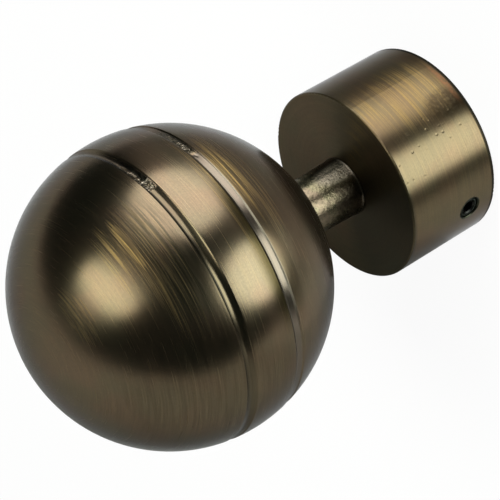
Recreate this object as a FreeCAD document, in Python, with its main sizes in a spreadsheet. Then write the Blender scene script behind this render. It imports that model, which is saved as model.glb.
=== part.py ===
"""Curtain pole finial, in millimetres.

A turned ball with two shallow grooves stands on a short neck above a cup-shaped end cap, which
slides over the end of a round pole. A countersunk screw runs from inside the cap through the
neck into the ball and clamps the three together. A grub screw in the cap's wall locks the
finial to the pole.

The origin is the centre of the cap's mouth, +Z runs up through the cap to the ball, and the
grub screw faces -Y.
"""
import FreeCAD, Part
import os
import Sketcher

SIZES = [
    # the pole that the cap slides over, and the cap
    ("pole_diameter", 28.0),
    ("pole_clearance", 0.15),
    ("cap_wall", 3.35),
    ("cap_length", 19.0),
    ("cap_floor", 4.0),
    ("cap_edge_radius", 0.3),
    ("mouth_chamfer", 0.4),
    # the neck, a little wider at the cap than at the ball
    ("neck_length", 12.0),
    ("neck_cap_diameter", 10.8),
    ("neck_ball_diameter", 10.2),
    ("neck_edge_chamfer", 0.25),
    # the ball, its flat seat for the neck and its two grooves
    ("ball_diameter", 53.5),
    ("ball_seat_diameter", 11.6),
    ("upper_groove_rise", 4.65),
    ("upper_groove_depth", 0.48),
    ("upper_groove_floor", 1.2),
    ("lower_groove_drop", 5.4),
    ("lower_groove_depth", 0.36),
    ("lower_groove_floor", 1.25),
    ("groove_wall_slope", 50.0),
    ("groove_lip_radius", 0.2),
    # the countersunk screw that clamps cap, neck and ball
    ("screw_diameter", 6.0),
    ("screw_length", 30.0),
    ("screw_head_diameter", 11.3),
    ("screw_rim_height", 0.4),
    ("screw_sink", 0.1),
    ("screw_point_chamfer", 0.6),
    ("screw_clearance", 0.2),
    ("recess_span", 6.8),
    ("recess_slot", 1.5),
    ("recess_depth", 2.8),
    ("recess_taper", 8.0),
    ("thread_clearance", 0.03),
    ("tapped_hole_spare", 3.0),
    ("drill_tip_height", 1.8),
    # the grub screw that grips the pole
    ("grub_diameter", 4.0),
    ("grub_length", 3.0),
    ("grub_height", 5.8),
    ("grub_sink", 0.3),
    ("grub_hole_lead", 0.25),
    ("grub_key", 2.0),
    ("grub_socket_depth", 1.6),
    ("grub_socket_lead", 0.2),
    ("grub_point_chamfer", 0.5),
    ("grub_face_chamfer", 0.2),
]

# Derived places and sizes, written in terms of the sheet's cells
BORE_RADIUS = "(sizes.pole_diameter / 2 + sizes.pole_clearance)"
CAP_RADIUS = f"({BORE_RADIUS} + sizes.cap_wall)"
FLOOR_HEIGHT = "(sizes.cap_length - sizes.cap_floor)"
BALL_RADIUS = "(sizes.ball_diameter / 2)"
SEAT_RADIUS = "(sizes.ball_seat_diameter / 2)"
SEAT_TO_CENTRE = f"sqrt({BALL_RADIUS} ^ 2 - {SEAT_RADIUS} ^ 2)"
NECK_TOP = "(sizes.cap_length + sizes.neck_length)"
SCREW_HOLE_RADIUS = "(sizes.screw_diameter / 2 + sizes.screw_clearance)"
SCREW_HEAD_RADIUS = "(sizes.screw_head_diameter / 2)"
SCREW_FACE_HEIGHT = f"({FLOOR_HEIGHT} + sizes.screw_sink)"
SINK_RADIUS = f"({SCREW_HEAD_RADIUS} + sizes.thread_clearance)"
SCREW_REACH = f"({SCREW_FACE_HEIGHT} + sizes.screw_length - {NECK_TOP})"
TAPPED_DEPTH = f"({SCREW_REACH} + sizes.tapped_hole_spare)"
TAPPED_RADIUS = "(sizes.screw_diameter / 2 + sizes.thread_clearance)"
GRUB_HOLE_RADIUS = "(sizes.grub_diameter / 2 + sizes.thread_clearance)"

doc = FreeCAD.newDocument("finial")


def make_sheet():
    """The spreadsheet that holds every driving dimension under its own alias."""
    sheet = doc.addObject("Spreadsheet::Sheet", "sizes")
    for row, (alias, value) in enumerate(SIZES, start=1):
        sheet.set(f"A{row}", alias)
        sheet.set(f"B{row}", str(value))
        sheet.setAlias(f"B{row}", alias)
    doc.recompute()
    return sheet


def make_body(name):
    """A sub-part, with a Label that names its file."""
    body = doc.addObject("PartDesign::Body", name)
    body.Label = name
    return body


def plane(body, role):
    """One of the body's own origin planes."""
    return next(feature for feature in body.Origin.OriginFeatures if feature.Role == role)


def sketch_on(body, name, role="XZ_Plane"):
    """An empty sketch on one of the body's own planes."""
    sketch = body.newObject("Sketcher::SketchObject", name)
    sketch.AttachmentSupport = [(plane(body, role), "")]
    sketch.MapMode = "FlatFace"
    return sketch


def bind(sketch, constraint, expression):
    """Adds a dimension to a sketch and ties it to the sheet."""
    index = sketch.addConstraint(constraint)
    sketch.setExpression(f"Constraints[{index}]", expression)


def outline(sketch, points, expressions):
    """Draws a closed polygon and ties each corner's X and Y to the sheet.

    points are rough starting places in the right order, and expressions hold a pair for each
    corner, in which None leaves the corner on the sketch's axis.
    """
    count = len(points)
    for index in range(count):
        start = FreeCAD.Vector(*points[index], 0)
        end = FreeCAD.Vector(*points[(index + 1) % count], 0)
        sketch.addGeometry(Part.LineSegment(start, end), False)
    for index in range(count):
        following = (index + 1) % count
        sketch.addConstraint(Sketcher.Constraint("Coincident", index, 2, following, 1))
    for index, (across, up) in enumerate(expressions):
        tie_point(sketch, index, 1, points[index], across, up)


def tie_point(sketch, geometry, vertex, point, across, up):
    """Fixes a point of a sketch at sheet-driven distances from the sketch's axes."""
    if across is None:
        sketch.addConstraint(Sketcher.Constraint("PointOnObject", geometry, vertex, -2))
    else:
        bind(sketch, Sketcher.Constraint("DistanceX", -1, 1, geometry, vertex, point[0]), across)
    if up is None:
        sketch.addConstraint(Sketcher.Constraint("PointOnObject", geometry, vertex, -1))
    else:
        bind(sketch, Sketcher.Constraint("DistanceY", -1, 1, geometry, vertex, point[1]), up)


def turned(body, kind, name, sketch):
    """A full turn of a sketch about the body's own Z axis, added or cut away."""
    feature = body.newObject(f"PartDesign::{kind}", name)
    feature.Profile = sketch
    feature.ReferenceAxis = (sketch, ["V_Axis"])
    feature.Angle = 360
    doc.recompute()
    return feature


def circle_edges(feature, wanted):
    """Names of a feature's circular edges about Z that wanted(radius, height) picks."""
    names = []
    for index, edge in enumerate(feature.Shape.Edges, start=1):
        if edge.Degenerated or not isinstance(edge.Curve, Part.Circle):
            continue
        circle = edge.Curve
        if abs(abs(circle.Axis.z) - 1) < 1e-6 and wanted(circle.Radius, circle.Center.z):
            names.append(f"Edge{index}")
    return names


def dress(body, kind, name, base, edges, size_property, expression):
    """A fillet or chamfer on named edges of the feature before it."""
    feature = body.newObject(f"PartDesign::{kind}", name)
    feature.Base = (base, edges)
    feature.setExpression(size_property, expression)
    doc.recompute()
    return feature


def make_cap(sheet):
    """The cup that slides over the pole: a turned blank with a bore, a countersunk hole in its
    floor for the clamping screw and a tapped hole through its wall for the grub screw."""
    body = make_body("end_cap")
    blank = sketch_on(body, "cap_section")
    outline(
        blank,
        [
            (14.6, 0),
            (17.5, 0),
            (17.5, 19),
            (3.2, 19),
            (3.2, 17.4),
            (5.7, 15.0),
            (14.2, 15),
            (14.2, 0.4),
        ],
        [
            (f"{BORE_RADIUS} + sizes.mouth_chamfer", None),
            (CAP_RADIUS, None),
            (CAP_RADIUS, "sizes.cap_length"),
            (SCREW_HOLE_RADIUS, "sizes.cap_length"),
            (
                SCREW_HOLE_RADIUS,
                f"{SCREW_FACE_HEIGHT} + sizes.screw_rim_height + {SINK_RADIUS} - {SCREW_HOLE_RADIUS}",
            ),
            (
                f"{SINK_RADIUS} + sizes.screw_sink + sizes.screw_rim_height",
                FLOOR_HEIGHT,
            ),
            (BORE_RADIUS, FLOOR_HEIGHT),
            (BORE_RADIUS, "sizes.mouth_chamfer"),
        ],
    )
    turned_blank = turned(body, "Revolution", "cap_blank", blank)

    hole = sketch_on(body, "grub_hole_section", "YZ_Plane")
    outline(
        hole,
        [(-13, 5.8), (-18.5, 5.8), (-18.5, 9.0), (-17.3, 7.83), (-13, 7.83)],
        [
            (f"1 - {BORE_RADIUS}", "sizes.grub_height"),
            (f"-{CAP_RADIUS} - 1", "sizes.grub_height"),
            (
                f"-{CAP_RADIUS} - 1",
                f"sizes.grub_height + {GRUB_HOLE_RADIUS} + sizes.grub_hole_lead + 1",
            ),
            (
                f"sizes.grub_hole_lead - {CAP_RADIUS}",
                f"sizes.grub_height + {GRUB_HOLE_RADIUS}",
            ),
            (f"1 - {BORE_RADIUS}", f"sizes.grub_height + {GRUB_HOLE_RADIUS}"),
        ],
    )
    hole.addGeometry(Part.LineSegment(hole.Geometry[0].StartPoint, hole.Geometry[0].EndPoint), True)
    hole.addConstraint(Sketcher.Constraint("Coincident", 5, 1, 0, 1))
    hole.addConstraint(Sketcher.Constraint("Coincident", 5, 2, 0, 2))
    drilled = body.newObject("PartDesign::Groove", "grub_hole")
    drilled.Profile = hole
    drilled.ReferenceAxis = (hole, ["Axis0"])
    drilled.Angle = 360
    doc.recompute()
    if not drilled.Shape.Volume < turned_blank.Shape.Volume - 1:
        raise RuntimeError("the grub screw's hole cuts nothing")

    radius = sheet.pole_diameter / 2 + sheet.pole_clearance + sheet.cap_wall
    rims = circle_edges(drilled, lambda r, z: abs(r - radius) < 1e-4)
    dress(body, "Fillet", "cap_rims", drilled, rims, "Radius", "sizes.cap_edge_radius")
    return body


def make_neck():
    """The short cast sleeve between cap and ball, slightly tapered, with broken edges."""
    body = make_body("neck")
    section = sketch_on(body, "neck_section")
    outline(
        section,
        [(3.2, 0), (5.15, 0), (5.4, 0.25), (5.1, 11.75), (4.85, 12), (3.2, 12)],
        [
            (SCREW_HOLE_RADIUS, None),
            ("sizes.neck_cap_diameter / 2 - sizes.neck_edge_chamfer", None),
            ("sizes.neck_cap_diameter / 2", "sizes.neck_edge_chamfer"),
            ("sizes.neck_ball_diameter / 2", "sizes.neck_length - sizes.neck_edge_chamfer"),
            ("sizes.neck_ball_diameter / 2 - sizes.neck_edge_chamfer", "sizes.neck_length"),
            (SCREW_HOLE_RADIUS, "sizes.neck_length"),
        ],
    )
    turned(body, "Revolution", "neck_turned", section)
    body.setExpression("Placement.Base.z", "sizes.cap_length")
    return body


def cut_groove(body, name, height, depth, floor, points):
    """A shallow groove round the ball: a flat floor between walls that slope up to its lips."""
    floor_radius = f"(sqrt({BALL_RADIUS} ^ 2 - ({height}) ^ 2) - {depth})"
    spread = f"(({BALL_RADIUS} + 1 - {floor_radius}) / tan(sizes.groove_wall_slope))"
    section = sketch_on(body, f"{name}_section")
    outline(
        section,
        points,
        [
            (floor_radius, f"{height} - {floor} / 2"),
            (f"{BALL_RADIUS} + 1", f"{height} - {floor} / 2 - {spread}"),
            (f"{BALL_RADIUS} + 1", f"{height} + {floor} / 2 + {spread}"),
            (floor_radius, f"{height} + {floor} / 2"),
        ],
    )
    return turned(body, "Groove", name, section)


def make_ball(sheet):
    """The turned ball, centred on its own origin: a sphere with a flat seat below, a tapped
    hole up from the seat and a shallow groove on each side of its equator."""
    body = make_body("ball")
    radius = sheet.ball_diameter / 2
    seat = sheet.ball_seat_diameter / 2
    drop = (radius**2 - seat**2) ** 0.5
    profile = sketch_on(body, "ball_section")
    top = FreeCAD.Vector(0, radius, 0)
    side = FreeCAD.Vector(radius, 0, 0)
    corner = FreeCAD.Vector(seat, -drop, 0)
    foot = FreeCAD.Vector(0, -drop, 0)
    profile.addGeometry(Part.Arc(corner, side, top), False)
    profile.addGeometry(Part.LineSegment(top, foot), False)
    profile.addGeometry(Part.LineSegment(foot, corner), False)
    # the arc's start is its lower end, because it runs anticlockwise from the seat to the top
    profile.addConstraint(Sketcher.Constraint("Coincident", 0, 2, 1, 1))
    profile.addConstraint(Sketcher.Constraint("Coincident", 1, 2, 2, 1))
    profile.addConstraint(Sketcher.Constraint("Coincident", 2, 2, 0, 1))
    profile.addConstraint(Sketcher.Constraint("Coincident", 0, 3, -1, 1))
    profile.addConstraint(Sketcher.Constraint("PointOnObject", 0, 2, -2))
    profile.addConstraint(Sketcher.Constraint("Vertical", 1))
    profile.addConstraint(Sketcher.Constraint("Horizontal", 2))
    bind(profile, Sketcher.Constraint("Radius", 0, radius), BALL_RADIUS)
    bind(profile, Sketcher.Constraint("DistanceX", -1, 1, 2, 2, seat), SEAT_RADIUS)
    turned(body, "Revolution", "ball_turned", profile)

    tapped = sketch_on(body, "tapped_hole_section")
    outline(
        tapped,
        [(0, -27), (3, -27), (3, -10), (0, -8.2)],
        [
            (None, f"-{SEAT_TO_CENTRE} - 1"),
            (TAPPED_RADIUS, f"-{SEAT_TO_CENTRE} - 1"),
            (TAPPED_RADIUS, f"-{SEAT_TO_CENTRE} + {TAPPED_DEPTH}"),
            (None, f"-{SEAT_TO_CENTRE} + {TAPPED_DEPTH} + sizes.drill_tip_height"),
        ],
    )
    turned(body, "Groove", "tapped_hole", tapped)

    cut_groove(
        body,
        "upper_groove",
        "sizes.upper_groove_rise",
        "sizes.upper_groove_depth",
        "sizes.upper_groove_floor",
        [(25.9, 4.0), (27.8, 2.5), (27.8, 6.8), (25.9, 5.3)],
    )
    grooved = cut_groove(
        body,
        "lower_groove",
        "-sizes.lower_groove_drop",
        "sizes.lower_groove_depth",
        "sizes.lower_groove_floor",
        [(25.8, -6.0), (27.8, -7.6), (27.8, -3.2), (25.8, -4.8)],
    )

    def is_lip(edge_radius, height):
        on_sphere = abs(edge_radius**2 + height**2 - radius**2) < 1e-3
        return on_sphere and height > 1 - drop

    lips = circle_edges(grooved, is_lip)
    if len(lips) != 4:
        raise RuntimeError(f"{len(lips)} groove lips were found, and there are four")
    dress(body, "Fillet", "groove_lips", grooved, lips, "Radius", "sizes.groove_lip_radius")
    body.setExpression("Placement.Base.z", f"{NECK_TOP} + {SEAT_TO_CENTRE}")
    return body


def make_fixing_screw():
    """The countersunk cross-recess screw, head face down at its own origin."""
    body = make_body("fixing_screw")
    section = sketch_on(body, "screw_section")
    outline(
        section,
        [(0, 0), (5.65, 0), (5.65, 0.4), (3, 3.05), (3, 29.4), (2.4, 30), (0, 30)],
        [
            (None, None),
            (SCREW_HEAD_RADIUS, None),
            (SCREW_HEAD_RADIUS, "sizes.screw_rim_height"),
            (
                "sizes.screw_diameter / 2",
                f"sizes.screw_rim_height + {SCREW_HEAD_RADIUS} - sizes.screw_diameter / 2",
            ),
            ("sizes.screw_diameter / 2", "sizes.screw_length - sizes.screw_point_chamfer"),
            ("sizes.screw_diameter / 2 - sizes.screw_point_chamfer", "sizes.screw_length"),
            (None, "sizes.screw_length"),
        ],
    )
    blank = turned(body, "Revolution", "screw_blank", section)

    recess = sketch_on(body, "recess_outline", "XY_Plane")
    wing, slot = "sizes.recess_span / 2", "sizes.recess_slot / 2"
    quarter = [
        ((3.4, -0.75), (wing, f"-{slot}")),
        ((3.4, 0.75), (wing, slot)),
        ((0.75, 0.75), (slot, slot)),
    ]
    points, expressions = [], []
    for turn in range(4):
        for (x, y), (across, up) in quarter:
            for _ in range(turn):
                x, y = -y, x
                across, up = f"-({up})", across
            points.append((x, y))
            expressions.append((across, up))
    outline(recess, points, expressions)
    pocket = body.newObject("PartDesign::Pocket", "cross_recess")
    pocket.Profile = recess
    pocket.Type = "Length"
    pocket.setExpression("Length", "sizes.recess_depth")
    pocket.setExpression("TaperAngle", "-sizes.recess_taper")
    pocket.Reversed = True
    doc.recompute()
    if not pocket.Shape.Volume < blank.Shape.Volume - 1:
        raise RuntimeError("the screw's cross recess cuts nothing")
    body.setExpression("Placement.Base.z", SCREW_FACE_HEIGHT)
    return body


def make_grub_screw():
    """The headless socket screw in the cap's wall, its point at its own origin."""
    body = make_body("grub_screw")
    section = sketch_on(body, "grub_section")
    outline(
        section,
        [(0, 0), (1.5, 0), (2, 0.5), (2, 2.8), (1.8, 3), (0, 3)],
        [
            (None, None),
            ("sizes.grub_diameter / 2 - sizes.grub_point_chamfer", None),
            ("sizes.grub_diameter / 2", "sizes.grub_point_chamfer"),
            ("sizes.grub_diameter / 2", "sizes.grub_length - sizes.grub_face_chamfer"),
            ("sizes.grub_diameter / 2 - sizes.grub_face_chamfer", "sizes.grub_length"),
            (None, "sizes.grub_length"),
        ],
    )
    turned(body, "Revolution", "grub_blank", section)

    lead = sketch_on(body, "socket_lead_section")
    corner = "sizes.grub_key / sqrt(3)"
    outline(
        lead,
        [(0, 3), (1.36, 3), (1.16, 2.8), (0, 2.8)],
        [
            (None, "sizes.grub_length"),
            (f"{corner} + sizes.grub_socket_lead", "sizes.grub_length"),
            (corner, "sizes.grub_length - sizes.grub_socket_lead"),
            (None, "sizes.grub_length - sizes.grub_socket_lead"),
        ],
    )
    led = turned(body, "Groove", "socket_lead", lead)

    socket = sketch_on(body, "socket_outline", "XY_Plane")
    across, half = "sizes.grub_key / sqrt(3)", "sizes.grub_key / (2 * sqrt(3))"
    flat = "sizes.grub_key / 2"
    outline(
        socket,
        [(1.155, 0), (0.577, 1), (-0.577, 1), (-1.155, 0), (-0.577, -1), (0.577, -1)],
        [
            (across, None),
            (half, flat),
            (f"-({half})", flat),
            (f"-({across})", None),
            (f"-({half})", f"-({flat})"),
            (half, f"-({flat})"),
        ],
    )
    socket.AttachmentOffset.Base.z = 0
    socket.setExpression("AttachmentOffset.Base.z", "sizes.grub_length - sizes.grub_socket_depth")
    pocket = body.newObject("PartDesign::Pocket", "hex_socket")
    pocket.Profile = socket
    pocket.Type = "Length"
    pocket.setExpression("Length", "sizes.grub_socket_depth")
    pocket.Reversed = True
    doc.recompute()
    if not pocket.Shape.Volume < led.Shape.Volume - 1:
        raise RuntimeError("the grub screw's socket cuts nothing")
    body.Placement = FreeCAD.Placement(
        FreeCAD.Vector(0, 0, 0), FreeCAD.Rotation(FreeCAD.Vector(1, 0, 0), 90)
    )
    body.setExpression(
        "Placement.Base.y", f"sizes.grub_length + sizes.grub_sink - {CAP_RADIUS}"
    )
    body.setExpression("Placement.Base.z", "sizes.grub_height")
    return body


def check_and_write(bodies):
    """Stops on any failed object or bad shape, then writes one STEP file for each sub-part."""
    doc.recompute()
    for item in doc.Objects:
        if "Invalid" in item.State or "Error" in item.State:
            raise RuntimeError(f"{item.Name} failed: {item.State}")
    os.makedirs("parts", exist_ok=True)
    for body in bodies:
        shape = body.Shape
        if shape.isNull() or not shape.isValid() or len(shape.Solids) != 1:
            raise RuntimeError(f"{body.Label} isn't one valid solid")
    for body in bodies:
        body.Shape.exportStep(f"parts/{body.Label}.step")
        box = body.Shape.BoundBox
        print(
            f"{body.Label}: {body.Shape.Volume:.1f} mm3, z {box.ZMin:.2f} to {box.ZMax:.2f}, "
            f"x {box.XMin:.2f} to {box.XMax:.2f}, y {box.YMin:.2f} to {box.YMax:.2f}"
        )


sheet = make_sheet()
check_and_write(
    [
        make_cap(sheet),
        make_neck(),
        make_ball(sheet),
        make_fixing_screw(),
        make_grub_screw(),
    ]
)
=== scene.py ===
"""The looks of a curtain pole finial: a turned ball on a cast neck above a cup-shaped end cap."""
import math

import bpy
from mathutils import Matrix, Vector


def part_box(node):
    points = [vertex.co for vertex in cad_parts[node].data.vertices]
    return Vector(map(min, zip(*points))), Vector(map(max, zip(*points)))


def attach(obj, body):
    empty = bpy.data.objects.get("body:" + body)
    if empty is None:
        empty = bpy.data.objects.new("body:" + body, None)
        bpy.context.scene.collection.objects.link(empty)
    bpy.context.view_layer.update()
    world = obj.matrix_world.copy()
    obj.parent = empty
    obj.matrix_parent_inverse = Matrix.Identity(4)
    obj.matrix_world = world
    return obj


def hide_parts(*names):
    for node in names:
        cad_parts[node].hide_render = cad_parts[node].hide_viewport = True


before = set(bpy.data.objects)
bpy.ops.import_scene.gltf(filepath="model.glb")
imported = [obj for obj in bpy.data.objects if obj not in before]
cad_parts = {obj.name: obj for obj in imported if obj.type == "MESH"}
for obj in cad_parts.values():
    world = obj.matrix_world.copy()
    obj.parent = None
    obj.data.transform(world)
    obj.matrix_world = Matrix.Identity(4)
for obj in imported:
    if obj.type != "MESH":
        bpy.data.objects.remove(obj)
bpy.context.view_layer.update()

# The ball
# Turned from bar, taken to be aluminium, with a groove on each side of its equator and a flat
# below for the neck. It is brushed as it spins, so its scratches run round the axis, and coated
# in antique brass. The tool tore both groove floors at its entry, at one azimuth.

MM = 0.001
scene = bpy.context.scene
ball_low, ball_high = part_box("ball")
BALL_RADIUS = (ball_high.x - ball_low.x) / 2
BALL_CENTRE = ball_high.z - BALL_RADIUS
SEAT_DROP = BALL_CENTRE - ball_low.z
SEAT_RADIUS = math.sqrt(BALL_RADIUS**2 - SEAT_DROP**2)
REAR_HEIGHT = -5.4 * MM
FRONT_HEIGHT = 4.65 * MM
# each groove's height over the ball's centre and its depth, then its lower and its upper side:
# the foot's distance from the groove's middle, the bends from there up as (length, turn in
# degrees), and the lip's radius
GROOVES = (
    (
        REAR_HEIGHT,
        0.31 * MM,
        (0.52 * MM, ((0.2 * MM, 50),), 0.2 * MM),
        (0.42 * MM, ((0.35 * MM, 50),), 0.3 * MM),
    ),
    (
        FRONT_HEIGHT,
        0.40 * MM,
        (-0.07 * MM, ((0.47 * MM, 30), (0.40 * MM, 0), (0.35 * MM, 20)), 0.1 * MM),
        (0.51 * MM, ((0.22 * MM, 50),), 0.2 * MM),
    ),
)
BEND_STEPS = 5
BALL_STEPS = 448
ROW_SPACING = 0.95 * MM
FLOOR_SPACING = 0.15 * MM
WELD_GAP = 0.001 * MM


class Value:
    """A socket in a node tree. Python's own arithmetic on it adds Math nodes."""

    def __init__(self, graph, socket):
        self.graph = graph
        self.socket = socket

    def maths(self, operation, *values):
        return self.graph.node("ShaderNodeMath", {"operation": operation}, dict(enumerate(values)))

    def __add__(self, other):
        return self.maths("ADD", self, other)

    def __radd__(self, other):
        return self.maths("ADD", other, self)

    def __sub__(self, other):
        return self.maths("SUBTRACT", self, other)

    def __rsub__(self, other):
        return self.maths("SUBTRACT", other, self)

    def __mul__(self, other):
        return self.maths("MULTIPLY", self, other)

    def __rmul__(self, other):
        return self.maths("MULTIPLY", other, self)

    def __truediv__(self, other):
        return self.maths("DIVIDE", self, other)

    def __rtruediv__(self, other):
        return self.maths("DIVIDE", other, self)

    def __mod__(self, other):
        return self.maths("FLOORED_MODULO", self, other)

    def __pow__(self, other):
        return self.maths("POWER", self, other)

    def __gt__(self, other):
        return self.maths("GREATER_THAN", self, other)

    def __lt__(self, other):
        return self.maths("LESS_THAN", self, other)

    def __abs__(self):
        return self.maths("ABSOLUTE", self)

    def output(self, name):
        """Another output of the node that this value comes from."""
        return Value(self.graph, self.socket.node.outputs[name])


class Graph:
    """A node tree, for a material, the world or geometry."""

    def __init__(self, tree):
        self.tree = tree

    def node(self, kind, settings=None, sockets=None, output=0):
        """Adds a node: its settings first, then the values or links of its sockets."""
        made = self.tree.nodes.new(kind)
        for name, setting in (settings or {}).items():
            setattr(made, name, setting)
        for key, given in (sockets or {}).items():
            if isinstance(given, Value):
                self.tree.links.new(given.socket, made.inputs[key])
            else:
                made.inputs[key].default_value = given
        return Value(self, made.outputs[output]) if len(made.outputs) else made

    def link(self, value, node, key):
        self.tree.links.new(value.socket, node.inputs[key])

    def step(self, value, low, high):
        """Goes smoothly from 0 to 1 as a value goes from low to high."""
        settings = {"interpolation_type": "SMOOTHSTEP"}
        sockets = {"Value": value, "From Min": low, "From Max": high}
        return self.node("ShaderNodeMapRange", settings, sockets, "Result")

    def noise(self, place, scale, detail, across=None):
        """Noise from 0 to 1 at a place, which across shifts along a fourth dimension."""
        sockets = {"Vector": place, "Scale": scale, "Detail": detail}
        if across is None:
            return self.node("ShaderNodeTexNoise", {"noise_dimensions": "3D"}, sockets)
        return self.node("ShaderNodeTexNoise", {"noise_dimensions": "4D"}, {**sockets, "W": across})

    def cells(self, place, scale):
        """The distance from the middle of the nearest of many scattered cells."""
        sockets = {"Vector": place, "Scale": scale}
        return self.node("ShaderNodeTexVoronoi", {"feature": "F1"}, sockets)

    def vector(self, x, y, z):
        return self.node("ShaderNodeCombineXYZ", None, {0: x, 1: y, 2: z})

    def dot(self, vector, direction):
        """How far a vector reaches along a fixed direction."""
        sockets = {0: vector, 1: tuple(direction)}
        return self.node("ShaderNodeVectorMath", {"operation": "DOT_PRODUCT"}, sockets, "Value")

    def split(self, vector):
        """The x, y and z of a vector."""
        x = self.node("ShaderNodeSeparateXYZ", None, {0: vector})
        return x, x.output("Y"), x.output("Z")

    def mix(self, factor, first, second, blend="MIX"):
        """A blend of two colours."""
        settings = {"data_type": "RGBA", "blend_type": blend}
        return self.node("ShaderNodeMix", settings, {0: factor, 6: first, 7: second}, 2)


def arc(centre, radius, start, end, count):
    """Points of a half section along an arc, between two angles in radians."""
    angles = [start + (end - start) * index / count for index in range(count + 1)]
    return [(centre[0] + radius * math.cos(a), centre[1] + radius * math.sin(a)) for a in angles]


def run(start, end, spacing):
    """Points of a half section between the ends of a straight run, without either end."""
    count = max(1, round(math.dist(start, end) / spacing))
    across, up = end[0] - start[0], end[1] - start[1]
    shares = [index / count for index in range(1, count)]
    return [(start[0] + across * share, start[1] + up * share) for share in shares]


def groove_side(height, depth, foot, bends, lip, side):
    """Half of a groove's section, from its foot up through its bends to its rounded lip."""
    along, across = side * height + foot, math.sqrt(BALL_RADIUS**2 - height**2) - depth
    points = [(along, across)]
    tilt = 0
    for length, turn in bends:
        for _ in range(BEND_STEPS):
            tilt += math.radians(turn) / BEND_STEPS / 2
            along += length / BEND_STEPS * math.cos(tilt)
            across += length / BEND_STEPS * math.sin(tilt)
            tilt += math.radians(turn) / BEND_STEPS / 2
            points.append((along, across))
    start = (along + lip * math.sin(tilt), across - lip * math.cos(tilt))
    ahead = start[0] * math.cos(tilt) + start[1] * math.sin(tilt)
    gap = (BALL_RADIUS - lip) ** 2 - start[0] ** 2 - start[1] ** 2
    reach = math.sqrt(ahead**2 + gap) - ahead
    centre = (start[0] + reach * math.cos(tilt), start[1] + reach * math.sin(tilt))
    wall = tilt + math.pi / 2
    surface = math.atan2(centre[1], centre[0])
    return [(up, side * out) for out, up in points + arc(centre, lip, wall, surface, BEND_STEPS)]


def groove_section(height, depth, lower, upper):
    """A groove's section from its lower lip to its upper lip, about the ball's centre."""
    rise = groove_side(height, depth, *upper, 1)
    fall = groove_side(height, depth, *lower, -1)[::-1]
    return fall + run(fall[-1], rise[0], FLOOR_SPACING) + rise


def ball_section():
    """The ball's half section about its centre, from the middle of its flat to its top."""
    rim = (SEAT_RADIUS, -SEAT_DROP)
    points = [(0, rim[1])] + run((0, rim[1]), rim, ROW_SPACING * 2)
    start = math.atan2(rim[1], rim[0])
    for sizes in GROOVES:
        groove = groove_section(*sizes)
        end = math.atan2(groove[0][1], groove[0][0])
        count = round((end - start) * BALL_RADIUS / ROW_SPACING)
        points += arc((0, 0), BALL_RADIUS, start, end, count)[:-1] + groove
        start = math.atan2(groove[-1][1], groove[-1][0])
    count = round((math.pi / 2 - start) * BALL_RADIUS / ROW_SPACING)
    return points + arc((0, 0), BALL_RADIUS, start, math.pi / 2, count)[1:]


def section_object(name, points, lift=0):
    """A line of edges through a half section's points, for a modifier to turn into a solid."""
    mesh = bpy.data.meshes.new(name)
    edges = [(index, index + 1) for index in range(len(points) - 1)]
    mesh.from_pydata([(across, 0, up + lift) for across, up in points], edges, [])
    made = bpy.data.objects.new(name, mesh)
    scene.collection.objects.link(made)
    return made


def geometry_tree(name, sizes):
    """A geometry tree with a shape, a material and named sizes going in."""
    tree = bpy.data.node_groups.new(name, "GeometryNodeTree")
    tree.interface.new_socket("Geometry", in_out="INPUT", socket_type="NodeSocketGeometry")
    tree.interface.new_socket("Material", in_out="INPUT", socket_type="NodeSocketMaterial")
    for label in sizes:
        tree.interface.new_socket(label, in_out="INPUT", socket_type="NodeSocketFloat")
    tree.interface.new_socket("Geometry", in_out="OUTPUT", socket_type="NodeSocketGeometry")
    graph = Graph(tree)
    return graph, graph.node("NodeGroupInput")


def turned(graph, section, steps):
    """Turns a half section's points about the Z axis into a closed skin."""
    rows = graph.node("GeometryNodeAttributeDomainSize", None, {0: section})
    grid = graph.node("GeometryNodeMeshGrid", None, {"Vertices X": steps + 1, "Vertices Y": rows})
    index = graph.node("GeometryNodeInputIndex")
    row = index % rows
    angle = (index - row) / rows * (2 * math.pi / steps)
    place = graph.node("GeometryNodeInputPosition")
    sampled = graph.node(
        "GeometryNodeSampleIndex",
        {"data_type": "FLOAT_VECTOR"},
        {"Geometry": section, "Value": place, "Index": row},
    )
    across, _, up = graph.split(sampled)
    x = across * angle.maths("COSINE", angle)
    y = across * angle.maths("SINE", angle)
    sockets = {"Geometry": grid, "Position": graph.vector(x, y, up)}
    wrapped = graph.node("GeometryNodeSetPosition", None, sockets)
    sockets = {"Geometry": wrapped, "Distance": WELD_GAP}
    return graph.node("GeometryNodeMergeByDistance", None, sockets)


def pushed(graph, solid, x, y, push):
    """Moves the points of a solid's skin away from the Z axis."""
    axle = graph.vector(x, y, 0.0)
    outward = graph.node("ShaderNodeVectorMath", {"operation": "NORMALIZE"}, {0: axle})
    sockets = {0: outward, "Scale": push}
    offset = graph.node("ShaderNodeVectorMath", {"operation": "SCALE"}, sockets)
    return graph.node("GeometryNodeSetPosition", None, {"Geometry": solid, "Offset": offset})


def finish_tree(graph, solid, inputs, crease=math.radians(40)):
    """Shades a solid smooth up to its sharp edges, gives it its material and ends the tree."""
    smooth = graph.node("GeometryNodeSetShadeSmooth", None, {"Geometry": solid})
    bend = graph.node("GeometryNodeInputMeshEdgeAngle")
    creased = graph.node(
        "GeometryNodeSetShadeSmooth",
        {"domain": "EDGE"},
        {"Geometry": smooth, "Selection": bend > crease, "Shade Smooth": False},
    )
    real = graph.node("GeometryNodeRealizeInstances", None, {"Geometry": creased})
    sockets = {"Geometry": real, "Material": inputs.output("Material")}
    coated = graph.node("GeometryNodeSetMaterial", None, sockets)
    graph.node("NodeGroupOutput", None, {0: coated})


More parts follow.
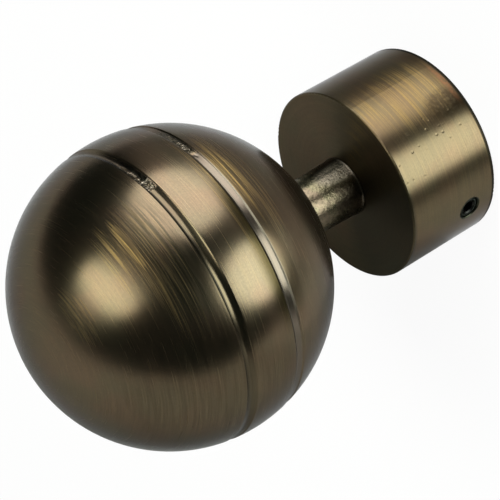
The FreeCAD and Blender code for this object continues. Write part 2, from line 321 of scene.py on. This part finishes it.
def make_piece(name, section, graph, material, sizes):
    """Runs a geometry tree on a section and keeps its result as a plain mesh."""
    modifier = section.modifiers.new(name, "NODES")
    modifier.node_group = graph.tree
    items = graph.tree.interface.items_tree
    sockets = {item.name: item for item in items if item.in_out == "INPUT"}
    modifier[sockets["Material"].identifier] = material
    for label, size in sizes.items():
        modifier[sockets[label].identifier] = size
    evaluated = section.evaluated_get(bpy.context.evaluated_depsgraph_get())
    mesh = bpy.data.meshes.new_from_object(evaluated)
    mesh.name = name
    section.modifiers.clear()
    section.data = mesh
    section.name = name
    return section


class Metal:
    """A metal's material: its node graph, its places about the axis and its shader.

    Each piece then sets the colour, rough and height that finish links.
    """

    def __init__(self, name, roughness, anisotropy, tint=(1, 1, 1, 1)):
        self.material = bpy.data.materials.new(name)
        self.material.use_nodes = True
        self.graph = Graph(self.material.node_tree)
        self.shader = self.material.node_tree.nodes["Principled BSDF"]
        self.shader.inputs["Metallic"].default_value = 1.0
        self.shader.inputs["Roughness"].default_value = roughness
        self.shader.inputs["Anisotropic"].default_value = anisotropy
        self.shader.inputs["Anisotropic Rotation"].default_value = 0.25
        self.shader.inputs["Specular Tint"].default_value = tint
        self.place = self.graph.node("ShaderNodeTexCoord", output="Object")
        self.x, self.y, self.z = self.graph.split(self.place)
        self.radius = (self.x * self.x + self.y * self.y) ** 0.5
        self.azimuth = self.y.maths("ARCTAN2", self.y, self.x)

    def rings(self, per_mm, per_turn, detail):
        """Noise that changes fast across the rings about the axis and slowly along them."""
        close = self.radius + 0.01 * MM
        x, y = self.x / close * per_turn, self.y / close * per_turn
        around = self.graph.vector(x, y, self.z * (per_mm / MM))
        return self.graph.noise(around, 1.0, detail, self.radius * (per_mm / MM))

    def patch(self, azimuth, height, half_turn, half_height):
        """1 inside a patch about an azimuth in degrees and a height in mm, fading to 0 outside."""
        aside = abs(self.azimuth - math.radians(azimuth)) / math.radians(half_turn)
        above = abs(self.z - height * MM) / (half_height * MM)
        return self.graph.step((aside * aside + above * above) ** 0.5, 1.2, 0.6)

    def lay(self, share, colour, blend="MIX"):
        """Lays another colour over the metal's own, by a share from 0 to 1."""
        self.colour = self.graph.mix(share, self.colour, colour, blend)

    def finish(self, lift):
        """Links the colour, the roughness and the height, which becomes a bump lift metres high."""
        self.graph.link(self.colour, self.shader, "Base Color")
        self.graph.link(self.rough, self.shader, "Roughness")
        sockets = {"Strength": 1.0, "Distance": lift, "Height": self.height}
        self.graph.link(self.graph.node("ShaderNodeBump", None, sockets), self.shader, "Normal")
        return self.material


COAT_RED = (0.084, 0.060, 0.038, 1)
COAT_GREEN = (0.076, 0.061, 0.038, 1)
COAT_TINT = (0.55, 0.56, 0.58, 1)
GOLD = (0.24, 0.158, 0.052, 1)
# the patina, soot and chip colours are the coat's own in places and paint shade or highlights in
# others, as marked below
PATINA_AND_SHADE = (0.018, 0.019, 0.012, 1)
SOOT_AND_SHADE = (0.007, 0.007, 0.005, 1)
BARE = (0.082, 0.07, 0.057, 1)
CHIP_AND_HIGHLIGHT = (0.24, 0.21, 0.16, 1)
BROWN = (0.03, 0.021, 0.011, 1)
UMBER = (0.023, 0.018, 0.007, 1)
SHADE_LOW = (0.6, 0.6, 0.6, 1)
SHADE_HIGH = (1.36, 1.36, 1.36, 1)
BRUSH_LIFT = 0.002 * MM


def brushed_metal(name, roughness, gold_patches):
    """Antique brass on turned metal: fine rings, gold in rubbed patches, cloudy tints."""
    metal = Metal(name, roughness, 0.5, COAT_TINT)
    graph = metal.graph
    lines = metal.rings(per_mm=5.4, per_turn=1.2, detail=1.0)
    hairs = metal.rings(per_mm=9.0, per_turn=3.0, detail=1.0)
    cloud = graph.noise(metal.place, 0.13 / MM, 3.0)
    grain = graph.noise(metal.place, 3.6 / MM, 1.0)
    worn = 0.05
    for *patch, strength in gold_patches:
        worn = metal.patch(*patch) * strength + worn
    rubbed = (graph.step(lines * 0.45 + hairs * 0.55, 0.48, 0.6) * 0.85 + 0.15) * worn
    metal.colour = graph.mix(graph.step(cloud, 0.35, 0.65), COAT_RED, COAT_GREEN)
    metal.lay(rubbed, GOLD)
    shade = graph.mix(lines * 0.3 + hairs * 0.25 + grain * 0.45, SHADE_LOW, SHADE_HIGH)
    metal.lay(1.0, shade, "MULTIPLY")
    metal.rough = roughness + rubbed * 0.26 + (hairs - 0.5) * 0.06
    metal.height = lines * 0.7 + hairs * 0.3 + grain * 0.7
    return metal


# each patch of the skin: its azimuth in degrees, its height in mm, half its turn and half its
# height, and for a rubbed one how much gold shows
BALL_RUBBED = (
    (-14, 69.9, 12, 0.7, 0.85),
    (-30, 69.6, 24, 0.4, 0.25),
    (-12, 71.6, 13, 0.8, 0.55),
    (-18, 73.0, 16, 1.2, 0.15),
    (-28, 68.0, 28, 3.4, 0.18),
    (-24, 79.6, 20, 1.2, 0.15),
    (-12, 49.6, 20, 1.6, 0.5),
    (-14, 48.0, 26, 2.6, 0.25),
    (-20, 53.4, 30, 1.2, 0.35),
)
BROWN_SIDE_AND_SHADE = (-92, 66, 34, 18)
HATCHED = (-28, 66.4, 28, 3.6)
REAR_PAINTED_SHADE = (-42, 52, 30, 30)
REAR_BROWN = (-48, 49.9, 22, 1.7)
REAR_LIP_HIGHLIGHT = (-36, 52, 34, 30)
FRONT_CORNER_SHADE = (0, 65, 68, 40)

ball_metal = brushed_metal("brushed brass coat of the ball", 0.25, BALL_RUBBED)
graph = ball_metal.graph
strokes = ball_metal.rings(per_mm=4.4, per_turn=3.2, detail=0.0)
# brown streaks low on one side, which also paint the shade of the table's shadow seen in reflection
brown = ball_metal.patch(*BROWN_SIDE_AND_SHADE) * (graph.step(strokes, 0.4, 0.6) * 0.22 + 0.2)
ball_metal.lay(brown, BROWN)
hatch = graph.step(strokes, 0.52, 0.42) * ball_metal.patch(*HATCHED)
ball_metal.lay(hatch * 0.55, PATINA_AND_SHADE)

# above the rear groove the coat is painted dark as shade, and along its lower lip a pale line is a
# painted highlight
LIP_HIGHLIGHT_DROP = 0.66 * MM
over_rear = ball_metal.z - (BALL_CENTRE + REAR_HEIGHT)
dark = graph.step(over_rear, 0.14 * MM, 0.3 * MM) * graph.step(over_rear, 4.0 * MM, 1.2 * MM)
ball_metal.lay(dark * ball_metal.patch(*REAR_PAINTED_SHADE) * 0.95, UMBER)
ball_metal.lay(ball_metal.patch(*REAR_BROWN) * 0.5, BROWN)
# painted highlight: a pale line along the rear groove's lower lip
lip_highlight = graph.step(abs(over_rear + LIP_HIGHLIGHT_DROP), 0.2 * MM, 0.1 * MM)
lip_highlight = lip_highlight * ball_metal.patch(*REAR_LIP_HIGHLIGHT)
ball_metal.lay(lip_highlight * 0.8, CHIP_AND_HIGHLIGHT)

# the coat is thin in both grooves up to the azimuth where the torn floors start. There their low
# halves are painted dark as shade, with specks of dirt, and their high halves have chips. Just
# before the tear, a pale strip across the front groove is a painted highlight on its notch
TEAR_START = math.radians(1.8)
TEAR_END = math.radians(13)
TEAR_FADE = 0.004
CHIPS_START = math.radians(-4)
CHIPS_FADE = 0.03
CHIPS_GRAIN = 3.4 / MM
CHIPS_HEIGHT = 140
NOTCH_HIGHLIGHT_START = math.radians(0.4)
REAR_SPLIT = BALL_CENTRE + REAR_HEIGHT - 0.35 * MM
FRONT_SPLIT = BALL_CENTRE + FRONT_HEIGHT
CORNER_HEIGHT = BALL_CENTRE + FRONT_HEIGHT + 0.65 * MM
over_centre = ball_metal.z - BALL_CENTRE
from_centre = (ball_metal.radius * ball_metal.radius + over_centre**2.0) ** 0.5
in_groove = graph.step(from_centre, BALL_RADIUS - 0.1 * MM, BALL_RADIUS - 0.22 * MM)
front = ball_metal.z > BALL_CENTRE
torn = graph.step(ball_metal.azimuth, TEAR_START - TEAR_FADE, TEAR_START)
halves_meet = front * (FRONT_SPLIT - REAR_SPLIT) + REAR_SPLIT
torn_low = torn * graph.step(ball_metal.z - halves_meet, 0.2 * MM, -0.2 * MM)
past_start = ball_metal.azimuth - TEAR_START - front * (CHIPS_START - TEAR_START)
chipped = graph.step(past_start, 0.0, CHIPS_FADE) * in_groove
chipped = chipped * graph.step(ball_metal.azimuth, TEAR_END * 2, TEAR_END * 0.6)
ragged = graph.noise(ball_metal.place, CHIPS_GRAIN, 2.0)
# painted shade over the torn low halves, with specks of dirt
dirt_and_shade = (graph.step(ragged, 0.5, 0.58) * 0.7 + torn_low) * chipped
chips = graph.step(ragged, 0.44, 0.38) * chipped * (1 - torn_low)
bare = in_groove * (1 - torn)
# painted highlight: a pale strip across the front groove just before the tear, for the notch's face
notch_highlight = graph.step(ball_metal.azimuth, NOTCH_HIGHLIGHT_START, TEAR_START) * bare * front
ball_metal.lay(bare * (1 - front) * 0.6, BARE)
ball_metal.lay(bare * front * 0.3, PATINA_AND_SHADE)
# painted shade: the rear groove's torn floor is darkened
ball_metal.lay(torn * (1 - front) * chipped * 0.6, PATINA_AND_SHADE)
ball_metal.lay(dirt_and_shade * 0.93, SOOT_AND_SHADE)
# painted shade along the corner on the front groove's upper side
corner_shade = graph.step(abs(ball_metal.z - CORNER_HEIGHT), 0.34 * MM, 0.24 * MM)
corner_shade = corner_shade * (ball_metal.patch(*FRONT_CORNER_SHADE) * 0.8 + 0.2)
ball_metal.lay(corner_shade * 0.85, SOOT_AND_SHADE)
ball_metal.lay(chips * 0.8 + notch_highlight * 0.7, CHIP_AND_HIGHLIGHT)
ball_metal.rough = ball_metal.rough + dirt_and_shade * 0.05 + lip_highlight * 0.3
chip_height = ragged * chipped * (1 - torn_low * 0.7) * CHIPS_HEIGHT
ball_metal.height = ball_metal.height + chip_height

BALL_SIZES = {
    "Tear start": TEAR_START,
    "Tear end": TEAR_END,
    "Tear depth": 0.13 * MM,
    "Tear grain": 2.6 / MM,
    "Centre": BALL_CENTRE,
    "Radius": BALL_RADIUS,
}
graph, inputs = geometry_tree("turned ball", BALL_SIZES)
solid = turned(graph, inputs, BALL_STEPS)
place = graph.node("GeometryNodeInputPosition")
x, y, z = graph.split(place)
azimuth = y.maths("ARCTAN2", y, x)
up = z - inputs.output("Centre")
out = (x * x + y * y + up * up) ** 0.5
tear = graph.step(inputs.output("Radius") - out, 0.12 * MM, 0.24 * MM)
start = inputs.output("Tear start")
end = inputs.output("Tear end")
tear = tear * (azimuth > start - 0.03) * graph.step(azimuth, end, end * 0.7)
ridges = graph.noise(place, inputs.output("Tear grain"), 1.0) - 0.5
push = tear * ridges * 3.0 * inputs.output("Tear depth")
finish_tree(graph, pushed(graph, solid, x, y, push), inputs)
ball_piece = make_piece(
    "turned_ball",
    section_object("ball_section", ball_section(), BALL_CENTRE),
    graph,
    ball_metal.finish(BRUSH_LIFT),
    BALL_SIZES,
)
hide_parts("ball")
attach(ball_piece, "root")

# The neck
# A short round sleeve between cap and ball, a little wider at the cap and clamped by the screw
# inside it. It is cast from a like alloy, not turned, so its skin keeps an orange peel and pits
# under the same coat of antique brass.

neck_low, neck_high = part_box("neck")
NECK_CAP_RADIUS = neck_high.x
NECK_BALL_RADIUS = 5.1 * MM
NECK_BORE_RADIUS = 3.2 * MM
NECK_EDGE = 0.25 * MM
NECK_STEPS = 288
NECK_ROWS = 90
EDGE_STEPS = 4
NECK_CREASE = math.radians(60)
COAT_OLIVE = (0.088, 0.077, 0.045, 1)
COAT_WARM = (0.1, 0.077, 0.051, 1)
CAST_TINT = (0.55, 0.55, 0.55, 1)
PEEL_LIFT = 0.06 * MM
# patches of the skin, written as the ball's are
NECK_COARSE_LIT = (-2, 21, 26, 5.0)
NECK_SHADED_SIDE = (12, 21, 15, 30)


def neck_section():
    """The neck's half section: it widens gently towards the cap and ends there in a bead."""
    cap_edge = (NECK_CAP_RADIUS - NECK_EDGE, neck_low.z + NECK_EDGE)
    ball_edge = (NECK_BALL_RADIUS - NECK_EDGE, neck_high.z - NECK_EDGE)
    low_round = arc(cap_edge, NECK_EDGE, -math.pi / 2, 0, EDGE_STEPS)
    high_round = arc(ball_edge, NECK_EDGE, 0, math.pi / 2, EDGE_STEPS)
    side = []
    for row in range(1, NECK_ROWS):
        fall = 1 - row / NECK_ROWS
        flare = 0.7 * fall**3.2 + 0.3 * fall**90
        across = NECK_BALL_RADIUS + (NECK_CAP_RADIUS - NECK_BALL_RADIUS) * flare
        side.append((across, high_round[0][1] + (low_round[-1][1] - high_round[0][1]) * fall))
    bore_low = (NECK_BORE_RADIUS, neck_low.z)
    bore_high = (NECK_BORE_RADIUS, neck_high.z)
    return [bore_low] + low_round + side + high_round + [bore_high, bore_low]


neck_metal = Metal("brass coat of the cast neck", 0.3, 0.0, CAST_TINT)
graph = neck_metal.graph
cloud = graph.noise(neck_metal.place, 0.35 / MM, 3.0)
grit = graph.noise(neck_metal.place, 2.4 / MM, 5.0)
speck = graph.noise(neck_metal.place, 6.0 / MM, 2.0)
coarse_and_lit = neck_metal.patch(*NECK_COARSE_LIT)
neck_metal.colour = graph.mix(graph.step(cloud, 0.35, 0.65), COAT_OLIVE, COAT_WARM)
neck_metal.lay(graph.step(grit, 0.48, 0.66) * (coarse_and_lit * 0.35 + 0.45), PATINA_AND_SHADE)
# where the cast skin is coarse near the cap its coat is pale, partly a painted highlight
neck_metal.lay(coarse_and_lit * 0.5, CHIP_AND_HIGHLIGHT)
dots = graph.step(graph.noise(neck_metal.place, 3.4 / MM, 2.0), 0.54, 0.64)
neck_metal.lay(dots * coarse_and_lit * 0.75, BROWN)
# painted shade: one side of the neck is darkened
shaded_side = neck_metal.patch(*NECK_SHADED_SIDE) * (graph.step(grit, 0.42, 0.6) * 0.45 + 0.55)
neck_metal.lay(shaded_side * 0.85, PATINA_AND_SHADE)
# painted highlight: a pale line along the bead at the cap end
bead = graph.step(neck_metal.z - neck_low.z, 0.5 * MM, 0.2 * MM)
neck_metal.lay(bead * 0.6, CHIP_AND_HIGHLIGHT)
neck_metal.rough = 0.28 + (cloud - 0.5) * 0.12 + (speck - 0.5) * 0.1 + coarse_and_lit * 0.25
neck_metal.height = (grit + speck * 0.4) * (coarse_and_lit + 0.5)

NECK_SIZES = {"Peel": 0.03 * MM, "Pits": 0.03 * MM}
graph, inputs = geometry_tree("cast neck", NECK_SIZES)
solid = turned(graph, inputs, NECK_STEPS)
place = graph.node("GeometryNodeInputPosition")
x, y, z = graph.split(place)
peel = (graph.noise(place, 0.9 / MM, 2.0) - 0.65) * 2.0
spread = graph.step(graph.noise(place, 0.25 / MM, 1.0), 0.42, 0.6)
pits = graph.step(graph.cells(place, 1.1 / MM), 0.34, 0.1) * spread
skin = ((x * x + y * y) ** 0.5) > (NECK_BORE_RADIUS + NECK_BALL_RADIUS) / 2
push = skin * (peel * inputs.output("Peel") - pits * inputs.output("Pits"))
finish_tree(graph, pushed(graph, solid, x, y, push), inputs, NECK_CREASE)
neck_piece = make_piece(
    "cast_neck",
    section_object("neck_section", neck_section()),
    graph,
    neck_metal.finish(PEEL_LIFT),
    NECK_SIZES,
)
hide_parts("neck")
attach(neck_piece, "root")

# The end cap
# A cup turned from the ball's metal, with a blind bore that slides over the pole. It is brushed
# round its axis and coated like the ball. The coat is rubbed to copper near the mouth and is
# black round the grub screw.

cap_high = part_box("end_cap")[1]
grub_low, grub_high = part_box("grub_screw")
GRUB_HEIGHT = (grub_low.z + grub_high.z) / 2
FACE_HEIGHT = cap_high.z - 0.2 * MM
DENT_HEIGHT = 12
COPPER = (0.075, 0.036, 0.017, 1)
CAP_SHADE = (0.86, 0.85, 0.79, 1)
FACE_SHADE = (1.0, 1.03, 1.04, 1)
# patches of the skin, written as the ball's are
CAP_RUBBED = ((-8, 9, 22, 11, 0.5),)
MOUTH_BROWN = (-8, 0, 32, 3.4)
MOUTH_STAINED = (-24.5, 4.2, 9, 4.2)
MOUTH_RING = (-24, -0.3, 36, 1.8)
MOUTH_COPPER = (-14, 1.3, 16, 0.6)
SIDE_BROWN = (-5, 12, 24, 14)
FACE_EDGE_SHADE = (-105, 19, 62, 0.8)
SIDE_DENTED = (-38, 8, 14, 12)
EDGE_DENTED = (-50, 16.5, 16, 2.5)


def off_grub_axis(metal):
    """How far a place is from the grub screw's axis, which runs along Y."""
    return (metal.x * metal.x + (metal.z - GRUB_HEIGHT) ** 2.0) ** 0.5


def coat(name, material):
    """Gives one of the frame's own pieces its material."""
    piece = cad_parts[name]
    piece.data.materials.clear()
    piece.data.materials.append(material)


cap_metal = brushed_metal("brushed brass coat of the end cap", 0.29, CAP_RUBBED)
graph = cap_metal.graph
cap_metal.lay(1.0, CAP_SHADE, "MULTIPLY")
stain = graph.step(graph.noise(cap_metal.place, 1.6 / MM, 6.0), 0.3, 0.62)
brown = cap_metal.patch(*MOUTH_BROWN) * 0.5
brown = brown + cap_metal.patch(*MOUTH_STAINED) * (stain * 0.45 + 0.3)
brown = brown + cap_metal.patch(*MOUTH_RING) * 0.45
brown = brown + cap_metal.patch(*SIDE_BROWN) * 0.2
cap_metal.lay(brown, BROWN)
on_face = cap_metal.z > FACE_HEIGHT
cap_metal.lay(on_face, FACE_SHADE, "MULTIPLY")
# painted shade on the face's edge: the table's shadow as the face would reflect it
cap_metal.lay(cap_metal.patch(*FACE_EDGE_SHADE) * 0.55, PATINA_AND_SHADE)
cap_metal.lay(cap_metal.patch(*MOUTH_COPPER) * (stain * 0.55 + 0.2), COPPER)
# a black ring is painted round the grub screw's hole
black_ring = graph.step(off_grub_axis(cap_metal), 2.45 * MM, 2.1 * MM) * (cap_metal.y < 0.0)
cap_metal.lay(graph.step(black_ring, 0.0, 1.0), PATINA_AND_SHADE)
# painted reflection: the mouth's edge is darkened as its chamfer would reflect dark
rim = graph.step(cap_metal.z, 0.85 * MM, 0.6 * MM)
cap_metal.lay(rim * 0.85, SOOT_AND_SHADE)
cap_metal.rough = cap_metal.rough + on_face * 0.1 + rim * 0.25
dented = cap_metal.patch(*SIDE_DENTED) + cap_metal.patch(*EDGE_DENTED)
dents = graph.step(graph.cells(cap_metal.place, 0.7 / MM), 0.22, 0.08) * dented
cap_metal.height = cap_metal.height - dents * DENT_HEIGHT
coat("end_cap", cap_metal.finish(BRUSH_LIFT))

# The fixing screw
# A countersunk cross-recess machine screw of zinc-plated steel. It is driven from inside the
# cap, through the neck and into the ball, and clamps the three together.

ZINC_GREY = (0.5, 0.5, 0.47, 1)
ZINC_YELLOW = (0.6, 0.58, 0.52, 1)
screw_metal = Metal("zinc-plated steel", 0.3, 0.0)
graph = screw_metal.graph
cloud = graph.noise(screw_metal.place, 0.3 / MM, 3.0)
screw_metal.colour = graph.mix(cloud, ZINC_GREY, ZINC_YELLOW)
screw_metal.rough = 0.24 + cloud * 0.12
screw_metal.height = screw_metal.rings(per_mm=4.0, per_turn=1.0, detail=2.0)
coat("fixing_screw", screw_metal.finish(0.004 * MM))

# The grub screw
# A hexagon-socket screw without a head, of blackened steel. It turns in a tapped hole in the
# cap's wall, just below the surface, and clamps the cap on the pole.

BLACK_LOW = (0.008, 0.008, 0.007, 1)
BLACK_HIGH = (0.02, 0.02, 0.018, 1)
BLACK_WORN = (0.032, 0.034, 0.031, 1)
grub_metal = Metal("blackened steel", 0.4, 0.0, (0.22, 0.24, 0.22, 1))
graph = grub_metal.graph
cloud = graph.noise(grub_metal.place, 0.9 / MM, 3.0)
speck = graph.noise(grub_metal.place, 5.0 / MM, 2.0)
off_axis = off_grub_axis(grub_metal)
worn_ring = graph.step(off_axis, 1.46 * MM, 1.54 * MM) * graph.step(off_axis, 1.8 * MM, 1.72 * MM)
grub_metal.colour = graph.mix(cloud, BLACK_LOW, BLACK_HIGH)
grub_metal.lay(worn_ring, BLACK_WORN)
grub_metal.rough = 0.3 + speck * 0.2
grub_metal.height = speck
coat("grub_screw", grub_metal.finish(0.01 * MM))

# The studio
# A plain pale floor and a white surround. The photograph shows a table's reflection on the side
# away from the lamps, so a pale board that only reflections see stands there. Three soft lamps.

# the camera stands where its fit to the outlines in the photograph puts it
CAMERA_PLACE = Vector((237.829, -175.112, 196.005)) * MM
LOOK = Vector((-0.715464, 0.521694, -0.464700))
PICTURE_UP = Vector((0.698143, 0.559194, -0.447100))
PICTURE_RIGHT = LOOK.cross(PICTURE_UP)
LENS = 143.885
SENSOR_WIDTH = 36
camera_data = bpy.data.cameras.new("camera")
camera_data.lens = LENS
camera_data.sensor_width = SENSOR_WIDTH
camera_data.clip_start = 0.01
camera = bpy.data.objects.new("camera", camera_data)
scene.collection.objects.link(camera)
camera.location = CAMERA_PLACE
camera.rotation_euler = Matrix((PICTURE_RIGHT, PICTURE_UP, -LOOK)).transposed().to_euler()
scene.camera = camera


def square(name, half):
    """A flat square about its own origin, facing up."""
    mesh = bpy.data.meshes.new(name)
    corners = [(-half, -half, 0), (half, -half, 0), (half, half, 0), (-half, half, 0)]
    mesh.from_pydata(corners, [], [(0, 1, 2, 3)])
    made = bpy.data.objects.new(name, mesh)
    scene.collection.objects.link(made)
    return made


WHITE = (1, 1, 1, 1)
FLOOR_HALF = 4.0
FLOOR_GREY = (0.9, 0.9, 0.9, 1)
FLOOR_GLOW = 0.92
floor = square("floor", FLOOR_HALF)
floor.visible_glossy = False
floor.visible_shadow = False
pale = bpy.data.materials.new("pale floor")
pale.use_nodes = True
nodes = pale.node_tree.nodes
graph = Graph(pale.node_tree)
nodes.remove(nodes["Principled BSDF"])
path = graph.node("ShaderNodeLightPath")
seen = path.output("Is Camera Ray") + path.output("Is Glossy Ray")
seen = seen + path.output("Is Transmission Ray")
matt = graph.node("ShaderNodeBsdfDiffuse", None, {"Color": FLOOR_GREY})
glow = graph.node("ShaderNodeEmission", None, {"Color": WHITE, "Strength": 1.0})
mixed = graph.node("ShaderNodeMixShader", None, {0: seen * FLOOR_GLOW, 1: matt, 2: glow})
graph.link(mixed, nodes["Material Output"], "Surface")
pale.cycles.emission_sampling = "NONE"
floor.data.materials.append(pale)

# the board lies where the table lay, just past the ball, and is darker towards its lower end
TABLE_UP = Vector((0.9748, -0.1526, 0.1626))
TABLE_GAP = 0.2 * MM
BOARD_HALF = 0.36
BOARD_PALE = (0.47, 0.47, 0.47, 1)
BOARD_DARK = (0.25, 0.25, 0.24, 1)
board = square("board", BOARD_HALF)
board.location = Vector((0, 0, BALL_CENTRE)) - TABLE_UP * (BALL_RADIUS + TABLE_GAP)
board.rotation_euler = TABLE_UP.to_track_quat("Z", "Y").to_euler()
board.visible_camera = False
board.visible_diffuse = False
board.visible_shadow = False
card = bpy.data.materials.new("pale board")
card.use_nodes = True
shader = card.node_tree.nodes["Principled BSDF"]
graph = Graph(card.node_tree)
down = board.rotation_euler.to_matrix().inverted() @ Vector((0, 0, -1))
below = graph.dot(graph.node("ShaderNodeTexCoord", output="Object"), down)
grey = graph.mix(graph.step(below, 0.09, 0.2), BOARD_PALE, BOARD_DARK)
graph.link(grey, shader, "Base Color")
shader.inputs["Roughness"].default_value = 1.0
shader.inputs["Specular IOR Level"].default_value = 0.0
board.data.materials.append(card)

# the surround is white to the camera. To all else it is dark on the lamps' side, though less so
# low down
SURROUND_DARK = (0.035, 0.05, 0.05, 1)
LOW_SIDE = Vector((0.36, 0.302, -0.883))
world = bpy.data.worlds.new("studio")
scene.world = world
world.use_nodes = True
graph = Graph(world.node_tree)
background = world.node_tree.nodes["Background"]
direction = graph.node("ShaderNodeTexCoord", output="Generated")
lamp_side = graph.step(graph.dot(direction, TABLE_UP), -0.20, 0.03)
dark = lamp_side * (1 - graph.step(graph.dot(direction, LOW_SIDE), 0.62, 0.78) * 0.65)
dark = dark * (1 - graph.node("ShaderNodeLightPath").output("Is Camera Ray"))
graph.link(graph.mix(dark, WHITE, SURROUND_DARK), background, "Color")
background.inputs["Strength"].default_value = 1.0


def heading(azimuth, elevation):
    """A direction from its azimuth and elevation in degrees."""
    turn, rise = math.radians(azimuth), math.radians(elevation)
    level = math.cos(rise)
    return Vector((math.cos(turn) * level, math.sin(turn) * level, math.sin(rise)))


LAMP_DISTANCE = 1.2
# each lamp's azimuth and elevation in degrees, its width and height, its radiance and its colour
LAMPS = (
    ("left lamp", 2, 59, 1.02, 0.58, 9.3, (0.96, 1.0, 0.9)),
    ("top lamp", 12, -14, 1.18, 1.24, 8.0, (0.97, 0.98, 1.0)),
    ("right lamp", -57.2, -32, 0.78, 1.12, 10.8, (0.94, 1.0, 0.98)),
)
for name, azimuth, elevation, width, height, radiance, colour in LAMPS:
    lamp_data = bpy.data.lights.new(name, "AREA")
    lamp_data.shape = "ELLIPSE"
    lamp_data.size = width
    lamp_data.size_y = height
    lamp_area = math.pi * width * height / 4
    lamp_data.energy = radiance * math.pi * lamp_area
    lamp_data.color = colour
    lamp = bpy.data.objects.new(name, lamp_data)
    scene.collection.objects.link(lamp)
    way = heading(azimuth, elevation)
    side = Vector((0, 0, 1)).cross(way).normalized()
    lamp.location = Vector((0, 0, BALL_CENTRE)) + way * LAMP_DISTANCE
    lamp.rotation_euler = Matrix((side, way.cross(side), way)).transposed().to_euler()

scene.view_settings.view_transform = "Standard"
